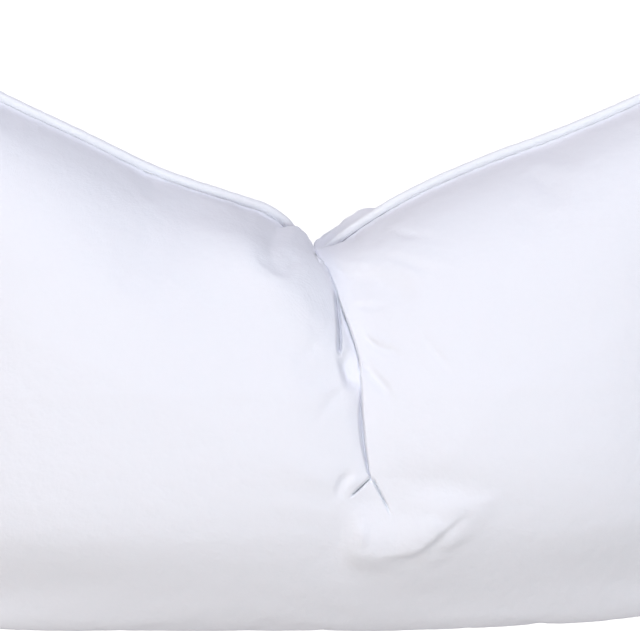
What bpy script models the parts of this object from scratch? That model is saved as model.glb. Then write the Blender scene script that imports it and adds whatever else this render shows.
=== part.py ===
"""A filled pillow insert with a piped edge, chopped in the middle of its top edge and lying on its back.

The insert is two cut panels sewn together face to face round a piping cord, then filled. It is modelled in
metres. X runs across the face, +Y runs up the face to the chopped edge and +Z comes out of the face. The back
is flat where it rests, at Z = 0.

Seam stations are given in millimetres on the insert's own face: across from the chop, up from the lower edge,
and height above the surface that the back rests on.
"""

from collections import namedtuple

import bmesh
import bpy
import numpy as np

MM = 0.001

CORD_DIAMETER = 4.6 * MM
SEWN_GAP = 0.3 * MM
CORNER_REACH = 13 * MM

# The filled shape: how far each panel stands out from the seam, and how squarely it fills towards each side.
FRONT_CROWN = 56 * MM
BACK_CROWN = 66 * MM
SIDE_FULLNESS = 3.8
CORNER_SHARPNESS = 6

# The base of the back hangs over its seam, because the insert was chopped standing on it.
BACK_TOP_FULLNESS = 2.4
BACK_BASE_FULLNESS = 4.0
BACK_OVERHANG = 12 * MM
BACK_OVERHANG_SHARE = 0.26
CORD_CLEAR_RISE = 0.05
BULGE_FULL_RISE = 0.35

# The chop, from the top edge down each face. The front's flank left of it stands steeper than elsewhere.
NOTCH_FLANK_ACROSS = -26 * MM
NOTCH_FLANK_WIDTH = 34 * MM
CREASE_PULL_WIDTH = 90 * MM
CREASE_FADE_SHARE = 0.06
CHOPPED_BULGE = 46 * MM
LEAST_BULGE_SHARE = 0.04
LEAST_SHOULDER = 5 * MM
CORD_HEIGHT = 2.6 * MM
ROLL_HEIGHT = 14.0 * MM

# The mesh of each panel and of the cord.
COLUMNS = 64
COLUMNS_CLOSER = 0.65
ROWS = 42
ROWS_CLOSER = 0.88
CORD_POINTS = 210
CORD_TURN_WEIGHT = 70 * MM
CORD_ROUNDNESS = 2
CURVE_STEPS = 40

COTTON = (0.86, 0.88, 0.93, 1.0)
COTTON_ROUGHNESS = 0.75
PIPING_COTTON = (0.90, 0.91, 0.94, 1.0)
PIPING_ROUGHNESS = 0.7

Station = namedtuple("Station", "across up height")
Section = namedtuple("Section", "sheet inward rise")
Chop = namedtuple("Chop", "up depth left_width right_width")
Overhang = namedtuple("Overhang", "centre half_width fullness move_across move_up reach")
Fold = namedtuple("Fold", "across_start up_start across_end up_end half_width depth")

# The piping's own line, as it shows in the photograph and as a 12 by 20 inch insert finishes it.
TOP_EDGE = (
    Station(-231, 305, 47),
    Station(-200, 286, 51),
    Station(-162, 266, 53),
    Station(-122, 247, 53),
    Station(-82, 228, 52),
    Station(-42, 214.5, 50),
    Station(-30, 210.4, 49),
    Station(-20.5, 204.2, 47.5),
    Station(-14, 196.9, 46),
    Station(-9, 190.6, 45),
    Station(-4.8, 188, 44.5),
    Station(0.8, 190.2, 45.5),
    Station(8.5, 195.6, 48),
    Station(16, 200.3, 50),
    Station(29, 208.7, 52),
    Station(40, 215.8, 53.5),
    Station(57.5, 224.8, 54),
    Station(87, 237, 53),
    Station(117, 248, 53),
    Station(157, 265, 53),
    Station(198, 285, 51),
    Station(231, 305, 47),
)
LOWER_EDGE = (
    Station(-244, -1, 46),
    Station(-200, 3, 50),
    Station(-120, 4.5, 52),
    Station(0, 4.5, 52),
    Station(120, 8.5, 52),
    Station(200, 12.5, 50),
    Station(244, 7, 46),
)
LEFT_EDGE = (
    Station(-244, -1, 46),
    Station(-226, 70, 50),
    Station(-218, 150, 52),
    Station(-219, 230, 51),
    Station(-231, 305, 47),
)
RIGHT_EDGE = (
    Station(244, 7, 46),
    Station(226, 75, 50),
    Station(218, 150, 52),
    Station(219, 230, 51),
    Station(231, 305, 47),
)

# The front's base in section, from its seam: along the flat sheet, in from the seam on plan, and up. It passes
# over the cord, hangs out past it and turns up to the crown.
BASE_SECTION = (
    Section(0, 0, 0),
    Section(2.6, 0.3, 2.6),
    Section(6, -3.5, 5),
    Section(10, -7.3, 9.5),
    Section(13, -5.2, 13),
    Section(17.5, -1, 16),
    Section(25, 6, 19.8),
    Section(34, 14, 24.6),
    Section(43, 23, 31.6),
    Section(52, 33, 39),
    Section(60, 42, 44.4),
    Section(69, 52, 48),
    Section(77, 60, 50),
    Section(92, 78, 53),
    Section(112, 112, 56),
)

# The same from the top seam down: along most of it, and beside the chop.
TOP_SECTION = (
    Section(0, 0, 0),
    Section(3, 3, 7),
    Section(8, 8, 15.5),
    Section(14, 14, 23.5),
    Section(20, 20, 30),
    Section(30, 30, 37.5),
    Section(45, 45, 44.5),
    Section(70, 70, 51),
    Section(112, 112, 56),
)
NOTCH_SECTION = (
    Section(0, 0, 0),
    Section(3, 3, 7),
    Section(8, 8, 16.5),
    Section(14, 14, 26.5),
    Section(20, 20, 35),
    Section(27, 27, 42),
    Section(36, 36, 47),
    Section(50, 50, 50.5),
    Section(75, 75, 53.5),
    Section(112, 112, 56),
)

# How far the chop lets each face down, from the top edge down, and how wide its two shoulders are.
FRONT_CHOP = (
    Chop(190, 32, 24, 3.5),
    Chop(180, 26, 26, 3),
    Chop(174, 21, 26, 2),
    Chop(165, 14, 24, 1.6),
    Chop(155, 9, 18, 1.5),
    Chop(140, 6, 12, 1.5),
    Chop(120, 4.5, 9, 1.5),
    Chop(100, 3.5, 8, 2),
    Chop(85, 2, 7, 3),
    Chop(77, 0, 7, 5),
)
BACK_CHOP = (
    Chop(190, 30, 20, 20),
    Chop(170, 28, 20, 20),
    Chop(150, 18, 16, 16),
    Chop(130, 5, 10, 10),
    Chop(115, 0, 7, 7),
)

# The line where the two halves of the front press together, from the chopped edge down.
CREASE_ACROSS = np.array([-8.5, -7, -3.6, 0.2, 4.4, 11.1, 14, 16.3, 17.4, 17.4, 18.6, 21, 22.3]) * MM
CREASE_UP = np.array([189, 182.8, 178, 175, 168.3, 151.8, 143.6, 135.4, 119, 110, 95, 80, 77]) * MM

# Lobes of cloth that roll over the seam where the chop squeezes them, each on its own half of its panel.
FRONT_LEFT_LOBE = Overhang(-11 * MM, 13 * MM, 2, 2.0 * MM, 13 * MM, 26 * MM)
FRONT_RIGHT_LOBE = Overhang(-4 * MM, 21 * MM, 2, 0, 8 * MM, 24 * MM)
BACK_RIGHT_LOBE = Overhang(7 * MM, 26 * MM, 4, -2.0 * MM, 12.5 * MM, 44 * MM)

# The broader folds round the crease's lower end, in millimetres. A negative depth stands proud.
FRONT_FOLDS = (
    Fold(10, 50, 40, 49, 15, -3.0),
    Fold(40, 49, 70, 70, 13, -2.6),
    Fold(10, 19, 52, 19, 13, 1.8),
    Fold(30, 37.5, 52, 46, 6, 1.4),
    Fold(52, 46, 73, 63, 6, 1.4),
    Fold(22, 77, 13, 69, 5, 1.5),
    Fold(23, 77, 31, 61, 5, 1.2),
    Fold(15, 123, -9, 95, 6, 0.8),
    Fold(18, 134, 35, 106, 6, 1.1),
)


def smooth_curve(stations):
    """A centripetal curve through the stations, as closely spaced points in metres."""
    knots = np.array(stations, float) * MM
    knots = np.vstack([2 * knots[0] - knots[1], knots, 2 * knots[-1] - knots[-2]])
    pieces = []
    for first in range(len(knots) - 3):
        p0, p1, p2, p3 = knots[first : first + 4]
        t1 = np.linalg.norm(p1 - p0) ** 0.5
        t2 = t1 + np.linalg.norm(p2 - p1) ** 0.5
        t3 = t2 + np.linalg.norm(p3 - p2) ** 0.5
        t = np.linspace(t1, t2, CURVE_STEPS, endpoint=False)[:, None]
        a1 = (t1 - t) / t1 * p0 + t / t1 * p1
        a2 = (t2 - t) / (t2 - t1) * p1 + (t - t1) / (t2 - t1) * p2
        a3 = (t3 - t) / (t3 - t2) * p2 + (t - t2) / (t3 - t2) * p3
        b1 = (t2 - t) / t2 * a1 + t / t2 * a2
        b2 = (t3 - t) / (t3 - t1) * a2 + (t - t1) / (t3 - t1) * a3
        pieces.append((t2 - t) / (t2 - t1) * b1 + (t - t1) / (t2 - t1) * b2)
    pieces.append(knots[-2:-1])
    return np.vstack(pieces)


def lengths_along(curve):
    """The distance from the start of the curve to each of its points."""
    return np.concatenate([[0.0], np.cumsum(np.linalg.norm(np.diff(curve, axis=0), axis=1))])


def points_at(curve, distances):
    """The points of a curve at these distances from its start."""
    run = lengths_along(curve)
    return np.stack([np.interp(distances, run, curve[:, axis]) for axis in range(3)], axis=-1)


def trimmed(curve, start, end):
    """A curve without its first and last stretches."""
    run = lengths_along(curve)
    distances = np.linspace(start, run[-1] - end, len(curve))
    return points_at(curve, distances)


def rounded_corner(before, tip, after):
    """The short curve that turns a corner, in two halves that meet at its middle."""
    t = np.linspace(0, 1, 2 * CURVE_STEPS + 1)[:, None]
    turn = (1 - t) ** 2 * before + 2 * t * (1 - t) * tip + t**2 * after
    return turn[: CURVE_STEPS + 1], turn[CURVE_STEPS:]


def seam_sides():
    """The piping's line as four sides, each from the middle of one rounded corner to the middle of the next.

    They run one way round: lower edge, right edge, top edge from the right, left edge downwards.
    """
    lower, right, top, left = [smooth_curve(edge) for edge in (LOWER_EDGE, RIGHT_EDGE, TOP_EDGE, LEFT_EDGE)]
    sharp = [lower, right, top[::-1], left[::-1]]
    straight = [trimmed(side, CORNER_REACH, CORNER_REACH) for side in sharp]
    halves = [
        rounded_corner(straight[i - 1][-1], sharp[i][0], straight[i][0]) for i in range(len(sharp))
    ]
    sides = []
    for i, side in enumerate(straight):
        leaving = halves[i][1]
        arriving = halves[(i + 1) % len(straight)][0]
        sides.append(np.vstack([leaving[:-1], side, arriving[1:]]))
    return sides


def set_in(side, distance):
    """A side moved towards the inside of the insert, on plan."""
    along = np.gradient(side, axis=0)
    inward = np.stack([-along[:, 1], along[:, 0], np.zeros(len(side))], axis=1)
    inward /= np.linalg.norm(inward, axis=1)[:, None]
    return side + inward * distance


def panel_edges(sides):
    """The edges that both panels share, just inside the cord, as functions of a share from 0 to 1."""
    lower, right, top, left = [set_in(side, CORD_DIAMETER / 2 + SEWN_GAP) for side in sides]
    corners = [(a[-1] + b[0]) / 2 for a, b in ((left, lower), (lower, right), (right, top), (top, left))]
    for side, start, end in zip((lower, right, top, left), corners, corners[1:] + corners[:1]):
        side[0], side[-1] = start, end
    top = top[::-1]
    chop = int(np.argmin(top[:, 1]))
    top_halves = (top[: chop + 1], top[chop:])

    def share(curve, shares):
        return points_at(curve, np.asarray(shares) * lengths_along(curve)[-1])

    def top_share(shares):
        low_half = share(top_halves[0], np.clip(2 * shares, 0, 1))
        high_half = share(top_halves[1], np.clip(2 * shares - 1, 0, 1))
        return np.where((shares <= 0.5)[:, None], low_half, high_half)

    return {
        "lower": lambda shares: share(lower, shares),
        "right": lambda shares: share(right, shares),
        "top": top_share,
        "left": lambda shares: share(left[::-1], shares),
    }


def eased(x):
    """A step from 0 to 1 with soft ends."""
    x = np.clip(x, 0, 1)
    return x * x * (3 - 2 * x)


def flat_panel(edges, across, up):
    """A sheet stretched between the four edges, one point for each pair of shares."""
    lower, top = edges["lower"](across)[:, None], edges["top"](across)[:, None]
    left, right = edges["left"](up)[None], edges["right"](up)[None]
    s, t = across[:, None, None], up[None, :, None]
    corner_part = (1 - s) * ((1 - t) * left[:, :1] + t * left[:, -1:]) + s * (
        (1 - t) * right[:, :1] + t * right[:, -1:]
    )
    return (1 - t) * lower + t * top + (1 - s) * left + s * right - corner_part


def crease_line(up):
    """Where the crease lies across, at these places up the face."""
    return np.interp(up, CREASE_UP[::-1], CREASE_ACROSS[::-1])


def read_section(section, from_seam):
    """How far the sheet moves on plan this far from the seam, and the share of the crown that it has risen."""
    curve = smooth_curve(section)
    inward = np.interp(from_seam, curve[:, 0], curve[:, 1])
    rise = np.interp(from_seam, curve[:, 0], curve[:, 2]) / curve[-1, 2]
    return np.where(from_seam < curve[-1, 0], inward - from_seam, 0), rise


def front_rise(edges, across, from_top):
    """The share of the crown that the front has risen this far from its top seam."""
    top_rise, notch_rise = [read_section(section, from_top)[1] for section in (TOP_SECTION, NOTCH_SECTION)]
    off_flank = (edges["top"](across)[:, None, 0] - NOTCH_FLANK_ACROSS) / NOTCH_FLANK_WIDTH
    return top_rise + (notch_rise - top_rise) * np.exp(-(off_flank**2))


def back_base(up, up_rise):
    """How far the back hangs out past its seam at the base, with nothing at the seam itself."""
    clear_of_cord = eased((up_rise - CORD_CLEAR_RISE) / BULGE_FULL_RISE)
    return -BACK_OVERHANG * clear_of_cord * (1 - eased(up / BACK_OVERHANG_SHARE))


def chop_drop(panel, crease_across, chop):
    """How far the chop lets each point down: a left and a right shoulder that meet in a sharp line."""
    ups, depths, left_widths, right_widths = np.array(chop).T[:, ::-1] * MM
    depth, left, right = [np.interp(panel[..., 1], ups, row) for row in (depths, left_widths, right_widths)]
    off_crease = panel[..., 0] - crease_across
    shoulder = np.maximum(np.where(off_crease < 0, left, right), LEAST_SHOULDER)
    out_of_crease = np.clip(np.abs(off_crease) / shoulder, 0, 1)
    return depth * (1 - np.sqrt(1 - (1 - out_of_crease) ** 2))


def rolled_over(panel, lobe):
    """The panel with one lobe pushed out past the top seam, once it is clear of the cord."""
    seam = panel[:, -1:]
    along = np.clip(np.abs(seam[..., 0] - lobe.centre) / lobe.half_width, 0, 1)
    off_seam = np.abs(panel[..., 2] - seam[..., 2])
    below_seam = np.clip((seam[..., 1] - panel[..., 1]) / lobe.reach, 0, 1)
    share = (1 - along**lobe.fullness) ** 2 * eased((off_seam - CORD_HEIGHT) / ROLL_HEIGHT) * (1 - eased(below_seam))
    return panel + share[..., None] * [lobe.move_across, lobe.move_up, 0]


def fold_depth(fold, panel):
    """How far one straight fold lets each point of the panel down."""
    sizes = np.array(fold) * MM
    start, end, half_width, depth = sizes[0:2], sizes[2:4], sizes[4], sizes[5]
    run = end - start
    share = np.clip((panel[..., :2] - start) @ run / (run @ run), 0, 1)
    distance = np.linalg.norm(panel[..., :2] - start - share[..., None] * run, axis=-1)
    return depth * eased(1 - distance / half_width)


def filled_panel(edges, across, up, front):
    """One panel as the filling pushes it out, with its half of the chop."""
    side, crown = (1, FRONT_CROWN) if front else (-1, BACK_CROWN)
    off_middle, off_centre = np.abs(2 * across - 1)[:, None], np.abs(2 * up - 1)[None]
    across_rise = np.sqrt(1 - off_middle**SIDE_FULLNESS)
    if front:
        sheet_height = np.linalg.norm(edges["top"](across) - edges["lower"](across), axis=1)[:, None]
        base_shift, base_rise = read_section(BASE_SECTION, up[None] * sheet_height)
        top_rise = front_rise(edges, across, (1 - up)[None] * sheet_height)
    else:
        base_rise = np.where(up < 0.5, np.sqrt(1 - off_centre**BACK_BASE_FULLNESS), 1)
        base_shift = back_base(up[None], base_rise)
        top_rise = np.where(up < 0.5, 1, np.sqrt(1 - off_centre**BACK_TOP_FULLNESS))

    panel = flat_panel(edges, across, up)
    panel[..., 1] += base_shift * (1 - off_middle**CORNER_SHARPNESS)

    middle_across = panel[len(across) // 2, :, 0][None]
    crease_across = crease_line(panel[..., 1]) if front else middle_across
    pull = (crease_across - middle_across) * eased(np.minimum(up, 1 - up) / CREASE_FADE_SHARE)[None]
    panel[..., 0] += pull * np.exp(-(((panel[..., 0] - middle_across) / CREASE_PULL_WIDTH) ** 2))
    drop = chop_drop(panel, crease_across, FRONT_CHOP if front else BACK_CHOP)
    bulge = crown * across_rise * base_rise * top_rise
    panel[..., 2] += side * bulge * np.maximum(1 - drop / CHOPPED_BULGE, LEAST_BULGE_SHARE)

    middle = len(across) // 2
    if front:
        panel[..., 2] -= sum(fold_depth(fold, panel) for fold in FRONT_FOLDS)
        panel[:middle] = rolled_over(panel[:middle], FRONT_LEFT_LOBE)
        panel[middle:] = rolled_over(panel[middle:], FRONT_RIGHT_LOBE)
    else:
        panel[..., 2] = np.maximum(panel[..., 2], 0.0)
        panel[middle:] = rolled_over(panel[middle:], BACK_RIGHT_LOBE)
    return panel


def closer_at_ends(count, share_closer):
    """Shares from 0 to 1 that lie closer together at both ends."""
    even = np.linspace(0, 1, count + 1)
    return (1 - share_closer) * even + share_closer * (1 - np.cos(np.pi * even)) / 2


def cotton(name, colour, roughness):
    """A plain woven cotton."""
    material = bpy.data.materials.new(name)
    material.use_nodes = True
    shader = material.node_tree.nodes["Principled BSDF"]
    shader.inputs["Base Color"].default_value = colour
    shader.inputs["Roughness"].default_value = roughness
    shader.inputs["Metallic"].default_value = 0.0
    return material


def shown(name, data, material, centre):
    """An object of this shape, moved so that the insert's middle is over the origin."""
    data.materials.append(material)
    obj = bpy.data.objects.new(name, data)
    obj.location = (-centre[0], -centre[1], 0)
    bpy.context.scene.collection.objects.link(obj)
    return obj


def make_body(edges, material, centre):
    """The filled cover: a front and a back panel that share their edge."""
    half = closer_at_ends(COLUMNS // 2, COLUMNS_CLOSER) / 2
    across = np.concatenate([half, 0.5 + half[1:]])
    up = closer_at_ends(ROWS, ROWS_CLOSER)
    front = filled_panel(edges, across, up, front=True)
    back = filled_panel(edges, across, up, front=False)

    bm = bmesh.new()
    front_verts = [[bm.verts.new(point) for point in column] for column in front]
    last_column, last_row = len(across) - 1, len(up) - 1
    back_verts = [
        [
            front_verts[i][j] if i in (0, last_column) or j in (0, last_row) else bm.verts.new(back[i, j])
            for j in range(last_row + 1)
        ]
        for i in range(last_column + 1)
    ]
    for i in range(last_column):
        for j in range(last_row):
            square = ((i, j), (i + 1, j), (i + 1, j + 1), (i, j + 1))
            bm.faces.new([front_verts[a][b] for a, b in square])
            bm.faces.new([back_verts[a][b] for a, b in reversed(square)])
    bmesh.ops.triangulate(bm, faces=bm.faces[:])
    mesh = bpy.data.meshes.new("filled_cover")
    bm.to_mesh(mesh)
    bm.free()
    mesh.shade_smooth()
    return shown("filled_cover", mesh, material, centre)


def closer_in_bends(loop, count):
    """Points round a closed line, closer together where it bends."""
    closed = np.vstack([loop, loop[:1]])
    steps = np.diff(closed, axis=0)
    lengths = np.linalg.norm(steps, axis=1)
    ways = steps / lengths[:, None]
    turns = np.arccos(np.clip(np.sum(ways * np.roll(ways, 1, axis=0), axis=1), -1, 1))
    effort = lengths + CORD_TURN_WEIGHT * (turns + np.roll(turns, -1)) / 2
    run = np.concatenate([[0.0], np.cumsum(effort)])
    places = np.interp(np.linspace(0, run[-1], count, endpoint=False), run, lengths_along(closed))
    return points_at(closed, places)


def make_piping(loop, material, centre):
    """The covered cord in the seam, as one closed ring."""
    points = closer_in_bends(loop, CORD_POINTS)
    curve = bpy.data.curves.new("piping", "CURVE")
    curve.dimensions = "3D"
    curve.twist_mode = "Z_UP"
    curve.bevel_depth = CORD_DIAMETER / 2
    curve.bevel_resolution = CORD_ROUNDNESS
    spline = curve.splines.new("POLY")
    spline.points.add(len(points) - 1)
    for spline_point, place in zip(spline.points, points):
        spline_point.co = (*place, 1.0)
    spline.use_cyclic_u = True
    return shown("piping", curve, material, centre)


def main():
    for obj in list(bpy.data.objects):
        bpy.data.objects.remove(obj)
    sides = seam_sides()
    loop = np.vstack([side[:-1] for side in sides])
    centre = (loop.min(axis=0) + loop.max(axis=0)) / 2
    make_body(panel_edges(sides), cotton("cover_cotton", COTTON, COTTON_ROUGHNESS), centre)
    make_piping(loop, cotton("piping_cotton", PIPING_COTTON, PIPING_ROUGHNESS), centre)


main()
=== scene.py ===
# %% [markdown]
# # A chopped pillow insert with a piped edge
#
# A pillow insert is what goes inside a cushion cover: two panels of dense white cotton, sewn together round a
# thin piping cord and filled until they stand out. This one is oblong, and a hand has chopped it in the middle
# of its top edge. The top edge sinks there in a wide V, and the two halves of the face press together in a deep
# crease that runs down from the V.
#
# The measured model of the insert is loaded first. It says how large the insert is and where it lies. The
# pieces that are made here take its place, with the fine cloth that the measured model leaves out.

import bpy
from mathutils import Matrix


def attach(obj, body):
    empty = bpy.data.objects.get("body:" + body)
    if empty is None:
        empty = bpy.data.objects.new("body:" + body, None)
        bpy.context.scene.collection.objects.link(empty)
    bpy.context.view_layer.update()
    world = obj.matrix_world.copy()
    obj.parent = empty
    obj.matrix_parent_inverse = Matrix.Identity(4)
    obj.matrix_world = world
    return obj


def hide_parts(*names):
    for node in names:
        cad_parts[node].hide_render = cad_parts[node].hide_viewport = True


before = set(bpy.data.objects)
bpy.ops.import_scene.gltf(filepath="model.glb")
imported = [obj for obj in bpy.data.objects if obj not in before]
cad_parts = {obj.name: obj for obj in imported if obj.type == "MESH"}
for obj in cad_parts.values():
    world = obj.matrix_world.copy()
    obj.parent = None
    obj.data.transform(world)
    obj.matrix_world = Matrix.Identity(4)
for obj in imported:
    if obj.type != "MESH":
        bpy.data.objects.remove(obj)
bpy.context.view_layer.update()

# %% Modules
import math
from collections import namedtuple

import bpy
import numpy as np
from mathutils import Matrix, Vector

MM = 0.001

# %% [markdown]
# ## The camera
#
# The camera looks straight down on the insert's face, as the photograph looks straight at it. A long lens from
# two metres away keeps the crown from swelling towards the viewer. The picture is 320 mm wide at the height of
# the seam, so the ends of the insert lie outside it.

# %% Camera
CAMERA_ACROSS = -2.5 * MM
CAMERA_UP = 3.8 * MM
CAMERA_HEIGHT = 2.0
SEAM_HEIGHT = 52 * MM
VIEW_WIDTH = 320 * MM

camera_data = bpy.data.cameras.new("camera")
camera_data.sensor_width = 36
camera_data.lens = camera_data.sensor_width * (CAMERA_HEIGHT - SEAM_HEIGHT) / VIEW_WIDTH
camera = bpy.data.objects.new("camera", camera_data)
camera.location = (CAMERA_ACROSS, CAMERA_UP, CAMERA_HEIGHT)
bpy.context.scene.collection.objects.link(camera)
bpy.context.scene.camera = camera
print("camera lens, mm:", round(camera_data.lens, 1))

# %% [markdown]
# ## The seam
#
# Everything hangs on the line of the seam, because that is where the panels are held. The line is written as a
# few stations in millimetres, on the insert's own face: across from the chop, up from the lower edge, and height
# above the surface underneath. A smooth curve runs through them. The corners are rounded, as piped corners are,
# because a cord can't be turned at a point.

# %% Seam stations
Station = namedtuple("Station", "across up height")

TOP_EDGE = (
    Station(-231, 305, 47),
    Station(-200, 286, 51),
    Station(-162, 266, 53),
    Station(-122, 247, 53),
    Station(-82, 228, 52),
    Station(-42, 214.5, 50),
    Station(-30, 210.4, 49),
    Station(-20.5, 204.2, 47.5),
    Station(-14, 196.9, 46),
    Station(-9, 190.6, 45),
    Station(-4.8, 188, 44.5),
    Station(0.8, 190.2, 45.5),
    Station(8.5, 196.2, 48),
    Station(16, 201.7, 50),
    Station(29, 210, 52),
    Station(40, 216.3, 53.5),
    Station(57.5, 224.8, 54),
    Station(87, 237, 53),
    Station(117, 248, 53),
    Station(157, 265, 53),
    Station(198, 285, 51),
    Station(231, 305, 47),
)
LOWER_EDGE = (
    Station(-244, -1, 46),
    Station(-200, 3, 50),
    Station(-120, 4.5, 52),
    Station(0, 4.5, 52),
    Station(120, 8.5, 52),
    Station(200, 12.5, 50),
    Station(244, 7, 46),
)
LEFT_EDGE = (
    Station(-244, -1, 46),
    Station(-226, 70, 50),
    Station(-218, 150, 52),
    Station(-219, 230, 51),
    Station(-231, 305, 47),
)
RIGHT_EDGE = (
    Station(244, 7, 46),
    Station(226, 75, 50),
    Station(218, 150, 52),
    Station(219, 230, 51),
    Station(231, 305, 47),
)
CORNER_REACH = 13 * MM
CORD_RADIUS = 2.3 * MM
SEWN_GAP = 0.05 * MM

# %% Smooth curves through stations
CURVE_STEPS = 40


def smooth_curve(stations):
    """A centripetal curve through the stations, as closely spaced points in metres."""
    knots = np.array(stations, float) * MM
    knots = np.vstack([2 * knots[0] - knots[1], knots, 2 * knots[-1] - knots[-2]])
    pieces = []
    for first in range(len(knots) - 3):
        p0, p1, p2, p3 = knots[first : first + 4]
        t1 = np.linalg.norm(p1 - p0) ** 0.5
        t2 = t1 + np.linalg.norm(p2 - p1) ** 0.5
        t3 = t2 + np.linalg.norm(p3 - p2) ** 0.5
        t = np.linspace(t1, t2, CURVE_STEPS, endpoint=False)[:, None]
        a1 = (t1 - t) / t1 * p0 + t / t1 * p1
        a2 = (t2 - t) / (t2 - t1) * p1 + (t - t1) / (t2 - t1) * p2
        a3 = (t3 - t) / (t3 - t2) * p2 + (t - t2) / (t3 - t2) * p3
        b1 = (t2 - t) / t2 * a1 + t / t2 * a2
        b2 = (t3 - t) / (t3 - t1) * a2 + (t - t1) / (t3 - t1) * a3
        pieces.append((t2 - t) / (t2 - t1) * b1 + (t - t1) / (t2 - t1) * b2)
    pieces.append(knots[-2:-1])
    return np.vstack(pieces)


def lengths_along(curve):
    """The distance from the start of the curve to each of its points."""
    return np.concatenate([[0.0], np.cumsum(np.linalg.norm(np.diff(curve, axis=0), axis=1))])


def points_at(curve, distances):
    """The points of a curve at these distances from its start."""
    run = lengths_along(curve)
    return np.stack([np.interp(distances, run, curve[:, axis]) for axis in range(curve.shape[1])], axis=-1)


# %% The four sides of the seam
def trimmed(curve, start, end):
    """A curve without its first and last stretches."""
    run = lengths_along(curve)
    return points_at(curve, np.linspace(start, run[-1] - end, len(curve)))


def rounded_corner(before, tip, after):
    """The short curve that turns a corner, in two halves that meet at its middle."""
    t = np.linspace(0, 1, 2 * CURVE_STEPS + 1)[:, None]
    turn = (1 - t) ** 2 * before + 2 * t * (1 - t) * tip + t**2 * after
    return turn[: CURVE_STEPS + 1], turn[CURVE_STEPS:]


def seam_sides():
    """The cord's line as four sides, one way round: lower, right, top from the right, left downwards."""
    lower, right, top, left = [smooth_curve(edge) for edge in (LOWER_EDGE, RIGHT_EDGE, TOP_EDGE, LEFT_EDGE)]
    pointed = [lower, right, top[::-1], left[::-1]]
    straight = [trimmed(side, CORNER_REACH, CORNER_REACH) for side in pointed]
    halves = [rounded_corner(straight[i - 1][-1], pointed[i][0], straight[i][0]) for i in range(4)]
    return [np.vstack([halves[i][1][:-1], straight[i], halves[(i + 1) % 4][0][1:]]) for i in range(4)]


def set_in(side, distance):
    """A side moved towards the inside of the insert, on plan."""
    along = np.gradient(side, axis=0)
    inward = np.stack([-along[:, 1], along[:, 0], np.zeros(len(side))], axis=1)
    return side + distance * inward / np.linalg.norm(inward, axis=1)[:, None]


sides = seam_sides()
cord_line = np.vstack([side[:-1] for side in sides])
plan_centre = (cord_line.min(axis=0) + cord_line.max(axis=0)) / 2 * [1, 1, 0]
print("seam length, mm:", round(1000 * lengths_along(cord_line)[-1]))

# %% [markdown]
# ## The filled form
#
# The two panels share one edge just inside the cord. A sheet is stretched over that edge first, and the filling
# then lifts it. The front rises by sections that are drawn through a few points, in millimetres: how far the
# cloth has come from the seam along the sheet, how far that is on plan, and how high it stands. One section
# holds at the base, one along the top edge, and a steeper one left of the V, where the chop has packed the
# filling. The insert was chopped while it stood on its lower edge, so its base bulges out past the seam and
# hides it from the front.

# %% Edges of the panels
def panel_edges():
    """The edges that both panels share, as functions of a share from 0 to 1."""
    lower, right, top, left = [set_in(side, CORD_RADIUS + SEWN_GAP) for side in sides]
    corners = [(a[-1] + b[0]) / 2 for a, b in ((left, lower), (lower, right), (right, top), (top, left))]
    for side, start, end in zip((lower, right, top, left), corners, corners[1:] + corners[:1]):
        side[0], side[-1] = start, end
    top = top[::-1]
    chop = int(np.argmin(top[:, 1]))

    def share(curve, shares):
        return points_at(curve, np.asarray(shares) * lengths_along(curve)[-1])

    def top_share(shares):
        low_half = share(top[: chop + 1], np.clip(2 * shares, 0, 1))
        high_half = share(top[chop:], np.clip(2 * shares - 1, 0, 1))
        return np.where((shares <= 0.5)[:, None], low_half, high_half)

    return {
        "lower": lambda shares: share(lower, shares),
        "right": lambda shares: share(right, shares),
        "top": top_share,
        "left": lambda shares: share(left[::-1], shares),
    }


edges = panel_edges()


def eased(x):
    """A step from 0 to 1 with soft ends."""
    x = np.clip(x, 0, 1)
    return x * x * (3 - 2 * x)


def stretched_sheet(across, up):
    """A sheet stretched between the four edges, one point for each pair of shares."""
    lower, top = edges["lower"](across)[:, None], edges["top"](across)[:, None]
    left, right = edges["left"](up)[None], edges["right"](up)[None]
    s, t = across[:, None, None], up[None, :, None]
    corner_part = (1 - s) * ((1 - t) * left[:, :1] + t * left[:, -1:]) + s * (
        (1 - t) * right[:, :1] + t * right[:, -1:]
    )
    return (1 - t) * lower + t * top + (1 - s) * left + s * right - corner_part


# %% Sizes of the filled form
FRONT_CROWN = 56 * MM
BACK_CROWN = 66 * MM
SIDE_FULLNESS = 3.8
BACK_TOP_FULLNESS = 2.4
BACK_BASE_FULLNESS = 4.0
BACK_OVERHANG = 12 * MM
BACK_OVERHANG_SHARE = 0.26
CORD_CLEAR_RISE = 0.05
BULGE_FULL_RISE = 0.35
BASE_CORNER_FULLNESS = 6

Section = namedtuple("Section", "sheet inward rise")
BASE_SECTION = (
    Section(0, 0, 0),
    Section(2.6, 0.3, 2.6),
    Section(5.5, -3.5, 4.4),
    Section(9.5, -7.4, 6.9),
    Section(11.5, -7.8, 8.9),
    Section(14, -6.2, 11),
    Section(18.5, -2, 14),
    Section(25, 5, 18.3),
    Section(34, 14, 24.4),
    Section(43, 23, 31.4),
    Section(52, 33, 39),
    Section(60, 42, 44.4),
    Section(69, 52, 48),
    Section(77, 60, 50),
    Section(92, 78, 53),
    Section(112, 112, 56),
)
TOP_SECTION = (
    Section(0, 0, 0),
    Section(1.2, 1.2, 1.1),
    Section(3, 3, 4.8),
    Section(5, 5, 9.4),
    Section(8, 8, 15),
    Section(14, 14, 23.5),
    Section(20, 20, 30),
    Section(30, 30, 37.5),
    Section(45, 45, 44.5),
    Section(70, 70, 51),
    Section(112, 112, 56),
)
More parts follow.
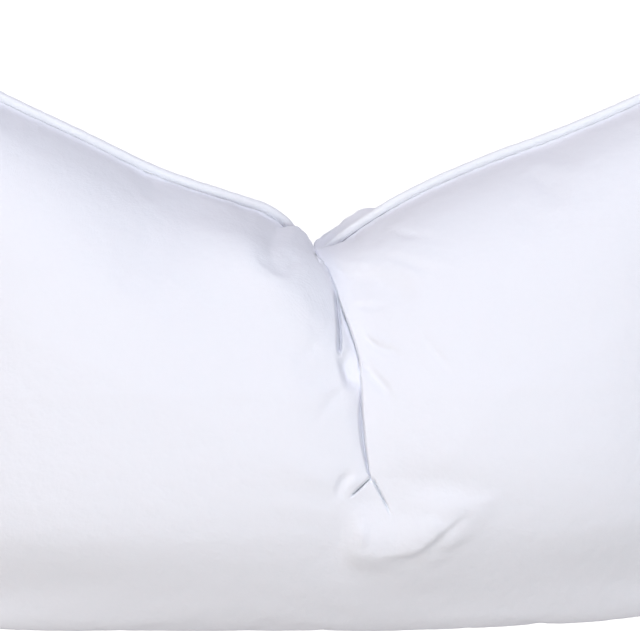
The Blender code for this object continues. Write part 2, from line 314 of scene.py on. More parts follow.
NOTCH_SECTION = (
    Section(0, 0, 0),
    Section(1.2, 1.2, 1.1),
    Section(3, 3, 7.5),
    Section(5, 5, 14.5),
    Section(8, 8, 23),
    Section(14, 14, 36),
    Section(19, 19, 42),
    Section(25, 25, 46),
    Section(34, 34, 49),
    Section(50, 50, 51.3),
    Section(75, 75, 53.5),
    Section(112, 112, 56),
)
NOTCH_FLANK_ACROSS = -26 * MM
NOTCH_FLANK_WIDTH = 34 * MM

# %% Sizes of the chop
CREASE_PULL_WIDTH = 90 * MM
CREASE_FADE_SHARE = 0.06
CHOPPED_BULGE = 46 * MM
LEAST_BULGE_SHARE = 0.04
BACK_HELD_FROM = 135 * MM

Chop = namedtuple("Chop", "up depth left_width right_width")
FRONT_CHOP = (
    Chop(190, 32, 16, 3.5),
    Chop(180, 26, 17, 3),
    Chop(174, 21, 18, 2),
    Chop(165, 14, 18, 1.6),
    Chop(155, 9, 16, 1.5),
    Chop(140, 6, 12, 1.5),
    Chop(120, 4.5, 9, 1.5),
    Chop(100, 3.5, 8, 2),
    Chop(85, 2, 7, 3),
    Chop(77, 0, 7, 5),
)
BACK_CHOP = (
    Chop(190, 30, 20, 20),
    Chop(170, 28, 20, 20),
    Chop(150, 18, 16, 16),
    Chop(130, 5, 10, 10),
    Chop(115, 0, 7, 7),
)
LEAST_CLOTH_SHOULDER = 5 * MM

CREASE_ACROSS = np.array([-8.5, -7, -3.6, 0.2, 4.4, 11.1, 14, 16.3, 17.4, 17.4, 18.6, 21, 22.3]) * MM
CREASE_UP = np.array([189, 182.8, 178, 175, 168.3, 151.8, 143.6, 135.4, 119, 110, 95, 80, 77]) * MM


# %% Both panels as the filling lifts them
def crease_line(up):
    """Where the crease lies across, at these places up the face."""
    return np.interp(up, CREASE_UP[::-1], CREASE_ACROSS[::-1])


def read_section(section, from_seam):
    """How far the sheet moves on plan this far from the seam, and the share of the crown that it has risen."""
    curve = smooth_curve(section)
    inward = np.interp(from_seam, curve[:, 0], curve[:, 1])
    rise = np.interp(from_seam, curve[:, 0], curve[:, 2]) / curve[-1, 2]
    return np.where(from_seam < curve[-1, 0], inward - from_seam, 0), rise


def back_base(up, up_rise):
    """How far the back hangs out past its seam at the base, with nothing at the seam itself."""
    clear_of_cord = eased((up_rise - CORD_CLEAR_RISE) / BULGE_FULL_RISE)
    return -BACK_OVERHANG * clear_of_cord * (1 - eased(up / BACK_OVERHANG_SHARE))


def chop_drop(panel, crease_across, chop, least_shoulder):
    """How far the chop lets each point down: a left and a right shoulder that meet in a line."""
    ups, depths, left_widths, right_widths = np.array(chop).T[:, ::-1] * MM
    depth, left, right = [np.interp(panel[..., 1], ups, row) for row in (depths, left_widths, right_widths)]
    off_crease = panel[..., 0] - crease_across
    shoulder = np.maximum(np.where(off_crease < 0, left, right), least_shoulder)
    out_of_crease = np.clip(np.abs(off_crease) / shoulder, 0, 1)
    return depth * (1 - np.sqrt(1 - (1 - out_of_crease) ** 2))


def filled_panel(across, up, front, least_shoulder=0.0):
    """One panel as the filling pushes it out, with its half of the chop."""
    side, crown = (1, FRONT_CROWN) if front else (-1, BACK_CROWN)
    off_middle, off_centre = np.abs(2 * across - 1)[:, None], np.abs(2 * up - 1)[None]
    across_rise = np.sqrt(1 - off_middle**SIDE_FULLNESS)
    if front:
        sheet_height = np.linalg.norm(edges["top"](across) - edges["lower"](across), axis=1)[:, None]
        base_shift, base_rise = read_section(BASE_SECTION, up[None] * sheet_height)
        top_rise, notch_rise = [
            read_section(section, (1 - up)[None] * sheet_height)[1] for section in (TOP_SECTION, NOTCH_SECTION)
        ]
        off_flank = (edges["top"](across)[:, None, 0] - NOTCH_FLANK_ACROSS) / NOTCH_FLANK_WIDTH
        up_rise = base_rise * (top_rise + (notch_rise - top_rise) * np.exp(-(off_flank**2)))
    else:
        base_rise = np.where(up < 0.5, np.sqrt(1 - off_centre**BACK_BASE_FULLNESS), 1)
        base_shift = back_base(up[None], base_rise)
        up_rise = base_rise * np.where(up < 0.5, 1, np.sqrt(1 - off_centre**BACK_TOP_FULLNESS))

    panel = stretched_sheet(across, up)
    bulge = crown * across_rise * up_rise
    panel[..., 1] += base_shift * (1 - off_middle**BASE_CORNER_FULLNESS)

    middle_across = panel[len(across) // 2, :, 0][None]
    crease_across = crease_line(panel[..., 1]) if front else middle_across
    pull = (crease_across - middle_across) * eased(np.minimum(up, 1 - up) / CREASE_FADE_SHARE)[None]
    panel[..., 0] += pull * np.exp(-(((panel[..., 0] - middle_across) / CREASE_PULL_WIDTH) ** 2))
    drop = chop_drop(panel, crease_across, FRONT_CHOP if front else BACK_CHOP, least_shoulder)
    panel[..., 2] += side * bulge * np.maximum(1 - drop / CHOPPED_BULGE, LEAST_BULGE_SHARE)
    return panel


def spaced(count, density):
    """Shares from 0 to 1 that lie closer together where the density is higher."""
    even = np.linspace(0, 1, 20001)
    weight = density(even)
    run = np.concatenate([[0.0], np.cumsum((weight[1:] + weight[:-1]) / 2)])
    return np.interp(np.linspace(0, run[-1], count + 1), run, even)


def mirrored(half):
    """Shares from 0 to 1, alike on both sides of the middle, from those of one half."""
    return np.concatenate([half / 2, 1 - half[-2::-1] / 2])


# %% [markdown]
# ## One closed mesh from two panels
#
# Both the cloth for the simulation and the finished cover are a front and a back panel on the same net of
# columns and rows. They share the points of their border, so the cover is one closed skin.

# %% Mesh of two panels
def cell_outline(i, j, step, last_column, last_row):
    """The places round one cell of a net: its corners, and what lies between them on the net's border."""
    places = [(i, j + k) for k in range(step)] + [(i + k, j + step) for k in range(step)]
    places += [(i + step, j + step - k) for k in range(step)] + [(i + step - k, j) for k in range(step)]
    corners = {(i, j), (i, j + step), (i + step, j + step), (i + step, j)}
    return [(a, b) for a, b in places if (a, b) in corners or a in (0, last_column) or b in (0, last_row)]


def two_panel_mesh(name, front, back, back_step=1):
    """A closed mesh of both panels, and the point numbers of their nets. The back may have a coarser net."""
    columns, rows = front.shape[:2]
    inside = (slice(back_step, -1, back_step), slice(back_step, -1, back_step))
    front_net = np.arange(columns * rows).reshape(columns, rows)
    back_net = front_net.copy()
    back_net[inside] = columns * rows + np.arange(back_net[inside].size).reshape(back_net[inside].shape)
    points = np.vstack([front.reshape(-1, 3), back[inside].reshape(-1, 3)])
    squares = [front_net[:-1, :-1], front_net[1:, :-1], front_net[1:, 1:], front_net[:-1, 1:]]
    faces = np.stack(squares, axis=-1).reshape(-1, 4).tolist()
    for i in range(0, columns - 1, back_step):
        for j in range(0, rows - 1, back_step):
            outline = cell_outline(i, j, back_step, columns - 1, rows - 1)
            faces.append([int(back_net[place]) for place in outline])
    mesh = bpy.data.meshes.new(name)
    mesh.from_pydata(points.tolist(), [], faces)
    mesh.shade_smooth()
    return mesh, front_net, back_net


# %% [markdown]
# ## Letting the cloth settle
#
# The form so far is smooth everywhere, and real cotton isn't. It is sewn to a cord that doesn't stretch, so it
# gathers in short puckers all along the seam and pulls in long soft wrinkles around the chop. A cloth
# simulation makes both. The seam and the line of the crease are pinned, the cloth is a little larger than the
# form, and the filling is a steady pressure from inside. A floor keeps the back flat.

# %% Cloth settings
CLOTH_COLUMNS = 120
CLOTH_ROWS = 76
CLOTH_FRAMES = 18
CLOTH_QUALITY = 6
CLOTH_STRETCH_STIFFNESS = 15
CLOTH_STRETCH_DAMPING = 5
CLOTH_CLEARANCE = 1 * MM
CLOTH_EASE = 0.003
FILL_PRESSURE = 4.0
LEAST_BACK_HEIGHT = 1.2 * MM
ROLL_OFF_HEIGHT = 10 * MM

# how much closer the columns and rows lie in places, and how wide those places are, as shares of the net
SIDE_PEAK = 0.3
CREASE_SPREAD, SHOULDER_SPREAD = 0.03, 0.13
MIDDLE_PEAK, MIDDLE_SPREAD = 0.8, 0.35
FOOT_PLACE, FOOT_SPREAD = 0.42, 0.08


def column_density(crease_peak, shoulder_peak, edge_softness):
    """Columns of one half lie close where the cloth leaves its side seam and beside the crease."""
    return lambda share: (
        1
        + SIDE_PEAK / np.sqrt(share + edge_softness)
        + crease_peak * np.exp(-(((1 - share) / CREASE_SPREAD) ** 2))
        + shoulder_peak * np.exp(-(((1 - share) / SHOULDER_SPREAD) ** 2))
        + MIDDLE_PEAK * np.exp(-(((1 - share) / MIDDLE_SPREAD) ** 2))
    )


def row_density(foot_peak, edge_softness):
    """Rows lie close where the cloth leaves the lower and the upper seam and at the crease's foot."""
    return lambda share: (
        1 / np.sqrt(share * (1 - share) + edge_softness)
        + foot_peak * np.exp(-(((share - FOOT_PLACE) / FOOT_SPREAD) ** 2))
    )


cloth_across = mirrored(spaced(CLOTH_COLUMNS // 2, column_density(0.5, 1.5, 0.01)))
cloth_up = spaced(CLOTH_ROWS, row_density(0.5, 0.002))


# %% Simulate the cloth
def settled(front, back):
    """Both panels after the simulation."""
    mesh, front_net, back_net = two_panel_mesh("settling_cloth", front, back)
    cloth = bpy.data.objects.new("settling_cloth", mesh)
    bpy.context.scene.collection.objects.link(cloth)
    middle = len(cloth_across) // 2
    border = np.concatenate([front_net[0], front_net[-1], front_net[:, 0], front_net[:, -1]])
    crease = front_net[middle][front[middle, :, 1] >= CREASE_UP[-1]]
    back_crease = back_net[middle][back[middle, :, 1] >= BACK_HELD_FROM]
    held = cloth.vertex_groups.new(name="held")
    held.add(np.unique(np.concatenate([border, crease, back_crease])).tolist(), 1.0, "REPLACE")

    modifier = cloth.modifiers.new("cloth", "CLOTH")
    settings = modifier.settings
    settings.quality = CLOTH_QUALITY
    settings.mass = 0.3
    settings.tension_stiffness = settings.compression_stiffness = CLOTH_STRETCH_STIFFNESS
    settings.shear_stiffness = 5
    settings.bending_stiffness = 1.0
    settings.tension_damping = settings.compression_damping = settings.shear_damping = CLOTH_STRETCH_DAMPING
    settings.bending_damping = 0.5
    settings.air_damping = 3
    settings.use_pressure = True
    settings.uniform_pressure_force = FILL_PRESSURE
    settings.vertex_group_mass = "held"
    settings.pin_stiffness = 1
    settings.shrink_min = -CLOTH_EASE
    settings.effector_weights.gravity = 0
    modifier.collision_settings.use_collision = True
    modifier.collision_settings.distance_min = CLOTH_CLEARANCE
    modifier.collision_settings.collision_quality = 3
    modifier.point_cache.frame_start = 1
    modifier.point_cache.frame_end = CLOTH_FRAMES + 1

    ground_mesh = bpy.data.meshes.new("settling_ground")
    ground_mesh.from_pydata([(-1, -1, 0), (1, -1, 0), (1, 1, 0), (-1, 1, 0)], [], [(0, 1, 2, 3)])
    ground = bpy.data.objects.new("settling_ground", ground_mesh)
    bpy.context.scene.collection.objects.link(ground)
    ground.modifiers.new("collision", "COLLISION")
    ground.collision.thickness_outer = CLOTH_CLEARANCE

    for step in range(1, CLOTH_FRAMES + 1):
        bpy.context.scene.frame_set(step)
    result = cloth.evaluated_get(bpy.context.evaluated_depsgraph_get()).data
    points = np.zeros(len(result.vertices) * 3, np.float32)
    result.vertices.foreach_get("co", points)
    points = points.reshape(-1, 3).astype(float)
    for temporary in (cloth, ground):
        bpy.data.objects.remove(temporary)
    bpy.context.scene.frame_set(1)
    return points[front_net], points[back_net]


front_form = filled_panel(cloth_across, cloth_up, True, LEAST_CLOTH_SHOULDER)
back_form = filled_panel(cloth_across, cloth_up, False, LEAST_CLOTH_SHOULDER)
back_form[1:-1, 1:-1, 2] = np.maximum(back_form[1:-1, 1:-1, 2], LEAST_BACK_HEIGHT)
front_cloth, back_cloth = front_form, back_form
front_cloth, back_cloth = settled(front_form, back_form)
for name, before, after in (("front", front_form, front_cloth), ("back", back_form, back_cloth)):
    move = 1000 * np.linalg.norm(after - before, axis=-1)
    print(f"{name}: moved by {move.mean():.1f} mm on average and {move.max():.1f} mm at most")

# %% [markdown]
# ## A finer net
#
# The form is drawn again on a finer net. Half of the settling that the simulation found on the front is added to
# it, read on a smooth curve through the simulated points, and it fades out towards the crease. The back takes
# all of its settling. The finer net has most of its columns beside the crease and most of its rows along the
# seams and near the crease's lower end. The back is let down flat onto the surface last.

# %% Add the settling to the finer net
COVER_COLUMNS = 384
COVER_ROWS = 200
BACK_STEP = 2
CREASE_CALM_WIDTH = 26 * MM
SETTLING_SHARE = 0.5

cover_across = mirrored(spaced(COVER_COLUMNS // 2, column_density(5, 3, 0.001)))
cover_up = spaced(COVER_ROWS, row_density(5, 0.0003))


def read_smoothly(values, old, new):
    """Values along the first axis, read at new places on a smooth curve through the old ones."""
    slope = np.gradient(values, old, axis=0)
    i = np.clip(np.searchsorted(old, new, side="right") - 1, 0, len(old) - 2)
    width = old[i + 1] - old[i]
    q = ((new - old[i]) / width).reshape((-1,) + (1,) * (values.ndim - 1))
    width = width.reshape(q.shape)
    low_part = (2 * q**3 - 3 * q**2 + 1) * values[i] + (q**3 - 2 * q**2 + q) * width * slope[i]
    high_part = (3 * q**2 - 2 * q**3) * values[i + 1] + (q**3 - q**2) * width * slope[i + 1]
    return low_part + high_part


def refined(settling):
    """The settling of a panel, read on the finer net."""
    columns = read_smoothly(settling, cloth_across, cover_across)
    return np.swapaxes(read_smoothly(np.swapaxes(columns, 0, 1), cloth_up, cover_up), 0, 1)


front_cover = filled_panel(cover_across, cover_up, True)
off_crease = np.abs(front_cover[..., 0] - crease_line(front_cover[..., 1])) / CREASE_CALM_WIDTH
below_crease = (CREASE_UP[-1] - front_cover[..., 1]) / CREASE_CALM_WIDTH
calm = eased(np.hypot(off_crease, np.maximum(below_crease, 0)))
front_cover += SETTLING_SHARE * refined(front_cloth - front_form) * calm[..., None]
back_cover = filled_panel(cover_across, cover_up, False)
off_ground = eased((back_cover[..., 2] - LEAST_BACK_HEIGHT) / ROLL_OFF_HEIGHT)
back_cover[1:-1, 1:-1, 2] = np.maximum(back_cover[1:-1, 1:-1, 2], LEAST_BACK_HEIGHT)
back_cover += refined(back_cloth - back_form)
back_cover[..., 2] = np.maximum(back_cover[..., 2] * off_ground, 0)
apart = 1000 * np.linalg.norm(np.diff(front_cover[:, COVER_ROWS // 2], axis=0), axis=1)
print("finer net:", front_cover.shape[:2])
print("its columns are apart, mm:", apart.min().round(2), "to", apart.max().round(2))

# %% [markdown]
# ## The V of the chop
#
# Cloth that is filled this tightly rolls over its own seam where the chop squeezes it. On the left of the V the
# front lobe leans out over the piping and hides it. A smaller one does so at the bottom of the V, and on the
# right the back lobe shows behind the piping as a soft grey strip. All are the same move: once the cloth is
# clear of the cord, it is pushed outwards, most in the middle of a stretch of the seam and not at its ends.

# %% Lobes that roll over the seam
Overhang = namedtuple("Overhang", "centre half_width fullness move_across move_up reach")
FRONT_LEFT_LOBE = Overhang(-11 * MM, 13 * MM, 2, 2.0 * MM, 12.7 * MM, 40 * MM)
FRONT_RIGHT_LOBE = Overhang(-4 * MM, 21 * MM, 2, 0, 8 * MM, 24 * MM)
BACK_RIGHT_LOBE = Overhang(8 * MM, 27 * MM, 4, -2.0 * MM, 10.7 * MM, 44 * MM)
CORD_HEIGHT = 2.6 * MM
ROLL_HEIGHT = 6.0 * MM


def rolled_over(panel, lobe):
    """The panel with one lobe pushed out past the top seam."""
    seam = panel[:, -1:]
    along = np.clip(np.abs(seam[..., 0] - lobe.centre) / lobe.half_width, 0, 1)
    off_seam = np.abs(panel[..., 2] - seam[..., 2])
    below_seam = np.clip((seam[..., 1] - panel[..., 1]) / lobe.reach, 0, 1)
    clear_of_cord = eased((off_seam - CORD_HEIGHT) / ROLL_HEIGHT)
    share = (1 - along**lobe.fullness) ** 2 * clear_of_cord * (1 - eased(below_seam))
    return panel + share[..., None] * [lobe.move_across, lobe.move_up, 0]


middle = COVER_COLUMNS // 2
front_cover[:middle] = rolled_over(front_cover[:middle], FRONT_LEFT_LOBE)
front_cover[middle:] = rolled_over(front_cover[middle:], FRONT_RIGHT_LOBE)
back_cover[middle:] = rolled_over(back_cover[middle:], BACK_RIGHT_LOBE)

# %% [markdown]
# ## Creases placed one by one
#
# The simulation gives the soft swell of the cloth, but the creases of one particular chop are best listed one
# by one. Each is a line across the face with a depth and a width on either side, in millimetres, and a shape: a
# soft trough, or a narrow gap between two lips of cloth. Negative depths are ridges. Most are pressed in square
# to the cloth. The gaps and the broadest swell go straight down or up instead, because a push square to the
# cloth would drive the two lips of a gap through each other.

# %% Shapes of a crease, from its line outwards
def soft(off_line):
    """A soft trough."""
    return (1 + np.cos(np.pi * off_line)) / 2


def ledge(off_line):
    """A straight slope down to the line."""
    return 1 - off_line


# %% Table of creases
Crease = namedtuple("Crease", "shape depth upper_width lower_width fade_start fade_end line")
LEFT_RIM = ((6, 43), (16, 42.3), (27, 41), (37.5, 40.5))
RIM_LINE = LEFT_RIM + ((47.5, 43.5), (54.5, 47.5), (62.5, 53.5), (77.5, 66), (84, 73))
CREASES = (
    # the hollow below the second pleat, and the soft arc beside the fork
    Crease(soft, 4.0, 5, 6, 0.4, 0.4, ((8.5, 141), (11.5, 131), (15, 119))),
    Crease(soft, 1.2, 4, 4.5, 0.4, 0.5, ((15.5, 81.5), (9.4, 76.7), (7, 71), (8.9, 65))),
    Crease(soft, -0.6, 4, 4, 0.4, 0.5, ((18, 78), (13.5, 74.5), (12, 70))),
    # pulls in the left half
    Crease(soft, 0.4, 2, 2, 0.4, 0.6, ((-1.6, 151.8), (-9.1, 141.4))),
    Crease(soft, 0.5, 3, 3, 0.3, 0.7, ((5.1, 155.5), (-8, 139), (-22.4, 122.9))),
    Crease(soft, 0.8, 3.5, 4, 0.3, 0.7, ((15.3, 123.4), (2.6, 115.1), (-9.3, 95.1))),
    Crease(soft, 0.6, 2.5, 2.5, 0.5, 0.5, ((-12.2, 185.6), (-19.5, 178.3))),
    Crease(soft, 0.6, 2.5, 2.5, 0.2, 0.7, ((-85.5, 231), (-90, 227), (-95, 222.5))),
    # pulls in the right half
    Crease(soft, 1.7, 2, 2.8, 0.2, 0.6, ((17.7, 147.5), (24.4, 141.8), (34.5, 138.4), (43, 136))),
    Crease(soft, -0.8, 2.5, 2.5, 0.3, 0.6, ((21, 147.5), (28, 144), (42, 141))),
    Crease(soft, 2.0, 4, 4, 0.15, 0.6, ((17.7, 134), (24.4, 126), (30, 119.5), (34.5, 110.2))),
    Crease(soft, 1.0, 3.5, 3.5, 0.4, 0.6, ((46.8, 147.3), (53.5, 138.4), (60.2, 130.7), (64.6, 121.6))),
    Crease(soft, 0.6, 2.5, 2.5, 0.5, 0.5, ((32.5, 197.3), (46.6, 194.4))),
    Crease(soft, 1.0, 3.5, 3.5, 0.4, 0.6, ((25.5, 187.7), (38.8, 183.2), (50, 179.3), (66, 177))),
    Crease(soft, 0.6, 5, 5, 0.5, 0.5, ((28, 172), (50, 167))),
    Crease(soft, 0.6, 3, 3, 0.4, 0.6, ((24.2, 200.2), (45, 196), (68, 190.5))),
    Crease(soft, 0.6, 3, 3, 0.3, 0.7, ((99.6, 229.4), (107, 221), (114.2, 212.4))),
    Crease(soft, 0.9, 2.5, 2.5, 0.3, 0.6, ((12, 162), (24.3, 160.8), (36, 162))),
    # the full rim under the chop, with its two bumps and the fold under them
    Crease(soft, -3.0, 26, 12, 0.13, 0.45, RIM_LINE),
    Crease(soft, -1.8, 26, 26, 0.2, 0.5, RIM_LINE),
    Crease(soft, -0.9, 5, 5, 0.5, 0.5, ((17.5, 59), (18.3, 43))),
    Crease(soft, -0.8, 5, 5, 0.5, 0.5, ((52, 62), (54, 50))),
    Crease(soft, 2.3, 2.5, 9, 0.3, 0.5, ((24, 37.8), (43.7, 40.2), (52, 45.5), (62.2, 54), (73.4, 63.1))),
    Crease(soft, 0.6, 2, 2, 0.4, 0.6, ((48.6, 39.2), (63.6, 43.6), (75, 51))),
)
# those that go straight down or up
UPRIGHT_CREASES = (
    # the lower half of the face stands fullest in a broad band
    Crease(soft, -2.5, 60, 50, 0.3, 0.3, ((-70, 88), (0, 90), (130, 92), (200, 94))),
    # a slit at the V, the second pleat, and the two legs of the fork
    Crease(ledge, 3.2, 0.7, 0.7, 0.1, 0.6, ((-5, 188.9), (-4.6, 186.2), (-3.3, 183.5), (-0.3, 180.2), (1.5, 176.5))),
    Crease(ledge, 8.5, 1.5, 1.4, 0.2, 0.06, ((5, 169), (5.9, 160), (6.6, 152.5), (6.9, 145), (6.8, 138))),
    Crease(ledge, 4.0, 0.7, 0.7, 0.1, 0.4, ((22.3, 77.5), (17.5, 73), (11.5, 67.4))),
    Crease(ledge, 4.0, 0.7, 0.7, 0.1, 0.5, ((22.8, 77.5), (27.2, 69), (33, 57.5))),
)


# %% Press the creases in
def outward_normals(panel, side):
    """The direction out of the panel at each of its points."""
    normals = side * np.cross(np.gradient(panel, axis=0), np.gradient(panel, axis=1))
    return normals / np.maximum(np.linalg.norm(normals, axis=-1), 1e-12)[..., None]


def creased(panel, crease):
    """How deep one crease presses each point of the panel."""
    line = smooth_curve(crease.line)
    run = lengths_along(line)
    widest = max(crease.upper_width, crease.lower_width) * MM
    low, high = line.min(axis=0) - widest, line.max(axis=0) + widest
    near = np.all((panel[..., :2] > low) & (panel[..., :2] < high), axis=-1)
    offset = panel[near][:, None, :2] - line[None]
    nearest = np.argmin(np.sum(offset**2, axis=-1), axis=1)
    offset = offset[np.arange(len(offset)), nearest]
    along = np.gradient(line, axis=0)[nearest]
    along /= np.linalg.norm(along, axis=1)[:, None]
    beside = along[:, 0] * offset[:, 1] - along[:, 1] * offset[:, 0]
    beyond = np.where((nearest == 0) | (nearest == len(line) - 1), np.sum(along * offset, axis=1), 0)
    above = beside * np.where(along[:, 0] < 0, -1, 1) > 0
    width = np.where(above, crease.upper_width, crease.lower_width) * MM
    off_line = np.clip(np.hypot(beside, beyond) / width, 0, 1)
    place = (run[nearest] + np.sum(along * offset, axis=1)) / run[-1]
    faded = eased(place / crease.fade_start) * eased((1 - place) / crease.fade_end)
    depth = np.zeros(panel.shape[:2])
    depth[near] = crease.depth * MM * crease.shape(off_line) * faded
    return depth


pressed = sum(creased(front_cover, crease) for crease in CREASES)
front_cover = front_cover - pressed[..., None] * outward_normals(front_cover, 1)
front_cover[..., 2] -= sum(creased(front_cover, crease) for crease in UPRIGHT_CREASES)
print("hand-placed creases:", len(CREASES) + len(UPRIGHT_CREASES))

# %% The gap in the main crease
# how far the slope of each lip reaches from the crease line, and how deep the gap is, at places up the face
Gap = namedtuple("Gap", "up left right depth")
MAIN_GAP = (
    Gap(176, 0.5, 0.4, 0),
    Gap(170, 0.5, 0.4, 1),
    Gap(150, 0.5, 0.4, 1.2),
    Gap(121, 0.6, 0.5, 2),
    Gap(115, 1.0, 0.8, 3.4),
    Gap(106, 2.0, 1.4, 5),
    Gap(100, 2.0, 1.3, 5),
    Gap(95, 1.8, 1.2, 5),
    Gap(87.6, 1.4, 1.0, 4.6),
    Gap(80, 0.9, 0.8, 4.2),
    Gap(77, 0.6, 0.6, 3),
    Gap(75, 0.6, 0.6, 0),
)


def main_gap(panel):
    """How deep the gap between the two lips of the main crease is at each point of the panel."""
    ups, lefts, rights, depths = np.array(MAIN_GAP).T[:, ::-1] * MM
    off_crease = panel[..., 0] - crease_line(panel[..., 1])
    left, right, depth = [np.interp(panel[..., 1], ups, column) for column in (lefts, rights, depths)]
    return depth * ledge(np.clip(np.abs(off_crease) / np.where(off_crease < 0, left, right), 0, 1))


front_cover[..., 2] -= main_gap(front_cover)

# %% [markdown]
# ## Puckers along the seam
#
# A panel is a little longer than the cord that it is sewn to, so it puckers all along the seam. The puckers are
# uneven: each is a few millimetres wide, and some reach further into the panel than others. Soft random values
# along the seam give their height, and other values their reach.

# %% Pucker all four sides
PUCKER_HEIGHT = 0.5 * MM
PUCKER_PITCH = 5 * MM
PUCKER_REACH = 8 * MM
REACH_PITCH = 14 * MM
REACH_UNEVENNESS = 0.8
PUCKER_LEAN = 0.3
PUCKER_START = 1.5 * MM
RANDOM_KNOTS = 1200


def soft_noise(places, seed):
    """Random values between -1 and 1, one for each whole place, joined by soft steps."""
    knots = np.random.default_rng(seed).uniform(-1, 1, RANDOM_KNOTS)
    before = np.floor(places).astype(int)
    return knots[before] + (knots[before + 1] - knots[before]) * eased(places - before)


def side_puckers(panel, seed):
    """The height of the puckers along the side where the second index is 0."""
    along = lengths_along(panel[:, 0])[:, None]
    inward = np.cumsum(np.linalg.norm(np.diff(panel, axis=1, prepend=panel[:, :1]), axis=-1), axis=1)
    reach = PUCKER_REACH * (1 + REACH_UNEVENNESS * soft_noise(along / REACH_PITCH, seed + 1))
    lean = soft_noise(along / REACH_PITCH, seed + 2) * inward * PUCKER_LEAN
    start = 1 - np.exp(-inward / PUCKER_START)
    return PUCKER_HEIGHT * start * np.exp(-inward / reach) * soft_noise((along + lean) / PUCKER_PITCH + 2, seed)


def puckered(panel, side, seed):
    """The panel with puckers along its four sides."""
    height = side_puckers(panel, seed)
    height += side_puckers(panel[:, ::-1], seed + 10)[:, ::-1]
    turned = np.swapaxes(panel, 0, 1)
    height += side_puckers(turned, seed + 20).T
    height += side_puckers(turned[:, ::-1], seed + 30)[:, ::-1].T
    return panel + height[..., None] * outward_normals(panel, side)


front_cover = puckered(front_cover, 1, seed=5)
back_cover = puckered(back_cover, -1, seed=6)
back_cover[..., 2] = np.maximum(back_cover[..., 2], 0)
print("share of the net that lies flat on its back:", round(float(np.mean(back_cover[..., 2] < 1e-6)), 2))


# %% [markdown]
# ## Cotton
#
# The cover is a dense plain weave, close enough to hold its filling. From a step away it reads as a smooth
# white with a faint crumple, and only close up as threads. The weave is built from two sine waves across each
# other, in the object's own coordinates: where one thread dips the other rises. Height is mixed into both
# directions, so the threads carry on down the steep sides. Uneven yarn and soft crumple are noise at two larger
# sizes. The piping is the same cloth cut on the bias, so its threads run aslant.

# %% Small helpers for materials
THREAD_PITCH = 0.4 * MM
THREAD_HEIGHT = 0.02 * MM
CRUMPLE_SIZE = 9 * MM
CRUMPLE_HEIGHT = 0.6 * MM
YARN_SIZE = 1.6 * MM
YARN_HEIGHT = 0.05 * MM


def add_node(tree, kind, **settings):
    """A node of this kind, with plain settings and the values of its sockets."""
    node = tree.nodes.new(kind)
    for name, value in settings.items():
        if name in node.inputs:
            node.inputs[name].default_value = value
        else:
            setattr(node, name, value)
    return node


def math_node(tree, operation, first, second):
    """The result of one sum, whose terms are numbers or other nodes' results."""
    node = tree.nodes.new("ShaderNodeMath")
    node.operation = operation
    for socket, term in zip(node.inputs, (first, second)):
        if isinstance(term, (int, float)):
            socket.default_value = term
        else:
            tree.links.new(term, socket)
    return node.outputs[0]


# %% The height of a plain weave
def weave_height(tree, place, slant):
    """Threads that go over and under each other, as a height between -1 and 1."""
    turned = add_node(tree, "ShaderNodeMapping")
    turned.inputs["Rotation"].default_value = (0, 0, slant)
    tree.links.new(place, turned.inputs["Vector"])
    parts = tree.nodes.new("ShaderNodeSeparateXYZ")
    tree.links.new(turned.outputs["Vector"], parts.inputs[0])
    waves = []
    for axis in "XY":
        along = math_node(tree, "ADD", parts.outputs[axis], parts.outputs["Z"])
        turns = math_node(tree, "MULTIPLY", along, math.pi / THREAD_PITCH)
        waves.append(math_node(tree, "SINE", turns, 0.0))
    return math_node(tree, "MULTIPLY", waves[0], waves[1])


# %% Cotton
def cotton(name, colour, tint, slant):
    """White cotton that shades softly from its colour to its tint."""
    material = bpy.data.materials.new(name)
    material.use_nodes = True
    tree = material.node_tree
    shader = tree.nodes["Principled BSDF"]
    shader.inputs["Sheen Weight"].default_value = 0.03
    shader.inputs["Sheen Roughness"].default_value = 0.5
    shader.inputs["Specular IOR Level"].default_value = 0.3
    place = tree.nodes.new("ShaderNodeTexCoord").outputs["Object"]

    crumple = add_node(tree, "ShaderNodeTexNoise", Scale=1 / CRUMPLE_SIZE, Detail=4.0, Roughness=0.6)
    yarn = add_node(tree, "ShaderNodeTexNoise", Scale=1 / YARN_SIZE, Detail=2.0, Roughness=0.5)
    for noise in (crumple, yarn):
        tree.links.new(place, noise.inputs["Vector"])
    shades = add_node(tree, "ShaderNodeMix", data_type="RGBA")
    shades.inputs[6].default_value, shades.inputs[7].default_value = colour, tint
    tree.links.new(crumple.outputs[0], shades.inputs[0])
    tree.links.new(shades.outputs[2], shader.inputs["Base Color"])
    dullness = add_node(tree, "ShaderNodeMapRange")
    dullness.inputs["To Min"].default_value, dullness.inputs["To Max"].default_value = 0.76, 0.94
    tree.links.new(yarn.outputs[0], dullness.inputs["Value"])
    tree.links.new(dullness.outputs[0], shader.inputs["Roughness"])

    normal = None
    weave = weave_height(tree, place, slant)
    reliefs = ((crumple.outputs[0], CRUMPLE_HEIGHT), (yarn.outputs[0], YARN_HEIGHT), (weave, THREAD_HEIGHT))
    for height, distance in reliefs:
        bump = add_node(tree, "ShaderNodeBump", Strength=1.0, Distance=distance)
        tree.links.new(height, bump.inputs["Height"])
        if normal:
            tree.links.new(normal, bump.inputs["Normal"])
        normal = bump.outputs["Normal"]
    tree.links.new(normal, shader.inputs["Normal"])
    return material


cover_cotton = cotton("cover_cotton", (0.86, 0.88, 0.93, 1), (0.87, 0.875, 0.92, 1), slant=0)
piping_cotton = cotton("piping_cotton", (0.9, 0.91, 0.94, 1), (0.88, 0.89, 0.93, 1), slant=math.pi / 4)

# %% [markdown]
# ## The cover
#
# The finished cover replaces the measured one and rides with the insert's only body.

